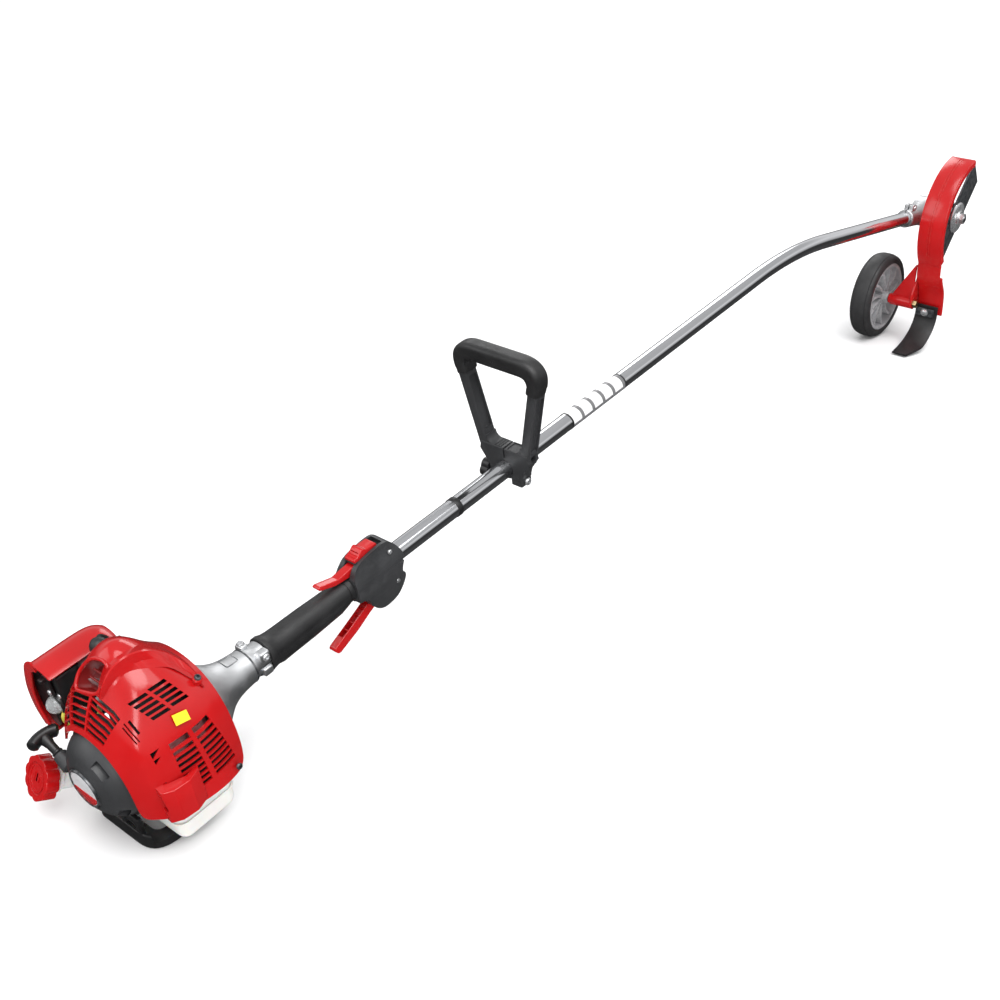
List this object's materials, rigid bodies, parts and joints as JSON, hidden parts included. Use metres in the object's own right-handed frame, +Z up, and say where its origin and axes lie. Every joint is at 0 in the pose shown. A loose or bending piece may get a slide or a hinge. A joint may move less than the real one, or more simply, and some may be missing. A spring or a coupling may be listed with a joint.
{
  "type": "stick edger",
  "caption": "Petrol stick edger: covered engine and tank at the rear, bent chrome tube with grip and loop handle, and a guarded vertical blade with side wheel.",
  "frame": {"origin": "on the floor, on the underside of the engine stand's rear bar, in the plane of the tube", "axes": "+X forward from the engine to the blade, +Y to the operator's left, +Z up"},
  "size_m": [1.8253, 0.2069, 0.335],
  "materials": {
    "red_plastic": "glossy",
    "red_paint": "glossy powder coat",
    "black_plastic": "satin",
    "grey_plastic": "fine grained",
    "rubber": "matt",
    "tyre": "smooth tread",
    "cast_aluminium": "die cast",
    "chrome": "polished",
    "steel": "machined",
    "dark_steel": "dark coat",
    "zinc": "zinc plated",
    "white_plastic": "translucent white",
    "clear_plastic": "clear soft",
    "yellow_tube": "translucent",
    "hub_plastic": "satin",
    "foam": "open foam"
  },
  "bodies": {
    "frame": {"shaft_tube": "chrome", "shaft_liner": "black_plastic", "drive_shaft": "steel", "connecting_rod": "steel", "piston": "cast_aluminium", "crankcase": "cast_aluminium", "cylinder": "cast_aluminium", "spark_plug": "zinc", "spark_plug_boot": "rubber", "ignition_coil": "black_plastic", "intake_insulator": "black_plastic", "carburettor": "cast_aluminium", "air_cleaner_base": "black_plastic", "air_filter": "foam", "air_cleaner_cover": "red_plastic", "fuel_tank": "white_plastic", "fuel_line": "yellow_tube", "muffler": "steel", "fan_housing": "cast_aluminium", "shaft_clamp": "cast_aluminium", "starter_case": "grey_plastic", "recoil_spring": "steel", "engine_cover": "red_plastic", "tank_stand": "black_plastic", "throttle_cable": "rubber", "rear_grip": "rubber", "control_housing_left": "grey_plastic", "control_housing_right": "grey_plastic", "gear_case": "cast_aluminium", "guard": "red_paint", "pivot_bolt": "zinc", "mud_flap": "rubber", "flap_bracket": "dark_steel"},
    "crank": {"crankshaft": "steel", "flywheel": "cast_aluminium", "clutch_shoes": "dark_steel"},
    "drum": {"clutch_drum": "steel"},
    "pinion": {"input_pinion": "steel"},
    "cutter": {"output_shaft": "steel", "blade": "dark_steel", "blade_washer": "zinc", "blade_nut": "zinc"},
    "starter_pull_handle": {"starter_handle": "black_plastic", "starter_rope": "white_plastic"},
    "reel": {"starter_reel": "black_plastic"},
    "trigger": {"throttle_trigger": "red_plastic"},
    "carburettor_arm": {"throttle_arm": "zinc"},
    "lockout": {"lockout_lever": "red_plastic"},
    "switch": {"stop_switch": "red_plastic"},
    "choke": {"choke_lever": "black_plastic"},
    "primer": {"primer_bulb": "clear_plastic"},
    "fuel_cap": {"fuel_cap": "red_plastic"},
    "wheel_bracket": {"wheel_arm": "red_paint", "depth_bolt": "zinc", "axle_bolt": "zinc"},
    "wheel": {"tyre": "tyre", "wheel_hub": "hub_plastic"},
    "handle": {"front_handle": "grey_plastic", "handle_grip": "rubber"},
    "knob": {"handle_knob": "black_plastic"}
  },
  "joints": [
    {"name": "blade_spin", "type": "hinge", "parent": "frame", "child": "cutter", "pos_m": [1.687, 0, 0.211], "axis": [0, 1, 0], "continuous": true},
    {"name": "pinion_spin", "type": "hinge", "parent": "frame", "child": "pinion", "pos_m": [1.687, 0, 0.211], "axis": [0.9925, 0, -0.1219], "continuous": true},
    {"name": "clutch_drum_spin", "type": "hinge", "parent": "frame", "child": "drum", "pos_m": [0.1086, 0, 0.1138], "axis": [0.9899, 0, 0.1416], "continuous": true},
    {"name": "crank_spin", "type": "hinge", "parent": "frame", "child": "crank", "pos_m": [0.03139, 0, 0.10276], "axis": [0.9899, 0, 0.1416], "continuous": true},
    {"name": "starter_pull", "type": "slide", "parent": "frame", "child": "starter_pull_handle", "axis": [-0.0598, 0.9063, 0.4184], "range_m": [0, 0.7], "stiffness_N_per_m": 8, "springref_m": -0.4, "deforming": ["starter_rope"]},
    {"name": "reel_turn", "type": "hinge", "parent": "frame", "child": "reel", "pos_m": [-0.02306, 0, 0.09497], "axis": [0.9899, 0, 0.1416], "range_deg": [0, 1700]},
    {"name": "throttle_trigger_pull", "type": "hinge", "parent": "frame", "child": "trigger", "pos_m": [0.33049, 0, 0.11625], "axis": [0, 1, 0], "range_deg": [0, 18], "stiffness_Nm_per_rad": 0.2, "springref_deg": -22.92},
    {"name": "throttle_arm_turn", "type": "hinge", "parent": "frame", "child": "carburettor_arm", "pos_m": [0.01865, 0.052, 0.17771], "axis": [-0.1416, 0, 0.9899], "range_deg": [0, 31]},
    {"name": "lockout_press", "type": "hinge", "parent": "frame", "child": "lockout", "pos_m": [0.30482, 0, 0.16157], "axis": [0, -1, 0], "range_deg": [0, 4.5], "stiffness_Nm_per_rad": 0.3, "springref_deg": -11.46},
    {"name": "stop_switch_slide", "type": "slide", "parent": "frame", "child": "switch", "axis": [0.9899, 0, 0.1416], "range_m": [0, 0.006]},
    {"name": "choke_turn", "type": "hinge", "parent": "frame", "child": "choke", "pos_m": [-0.01994, 0.08, 0.14593], "axis": [-0.9899, 0, -0.1416], "range_deg": [0, 60]},
    {"name": "primer_press", "type": "slide", "parent": "frame", "child": "primer", "axis": [0.9899, 0, 0.1416], "range_m": [0, 0.0035], "stiffness_N_per_m": 800, "springref_m": -0.001},
    {"name": "fuel_cap_turn", "type": "hinge", "parent": "frame", "child": "fuel_cap", "pos_m": [-0.03988, 0.088, 0.05014], "axis": [-0.9203, 0.1198, 0.3724], "range_deg": [0, 540]},
    {"name": "wheel_depth", "type": "hinge", "parent": "frame", "child": "wheel_bracket", "pos_m": [1.646, -0.029, 0.155], "axis": [0, 1, 0], "range_deg": [0, 8]},
    {"name": "wheel_spin", "type": "hinge", "parent": "wheel_bracket", "child": "wheel", "pos_m": [1.6073, 0.0368, 0.074], "axis": [0, 1, 0], "continuous": true},
    {"name": "handle_slide", "type": "slide", "parent": "frame", "child": "handle", "axis": [0.9899, 0, 0.1416], "range_m": [-0.08, 0.08]},
    {"name": "knob_turn", "type": "hinge", "parent": "handle", "child": "knob", "pos_m": [0.56122, 0.03, 0.16289], "axis": [0, 1, 0], "range_deg": [-180, 540]}
  ],
  "couplings": [
    {"joint": "pinion_spin", "follows": "blade_spin", "ratio": -1.4},
    {"joint": "clutch_drum_spin", "follows": "blade_spin", "ratio": -1.4},
    {"joint": "reel_turn", "follows": "starter_pull", "rad_per_m": 40},
    {"joint": "throttle_arm_turn", "follows": "throttle_trigger_pull", "ratio": 1.6667}
  ]
}
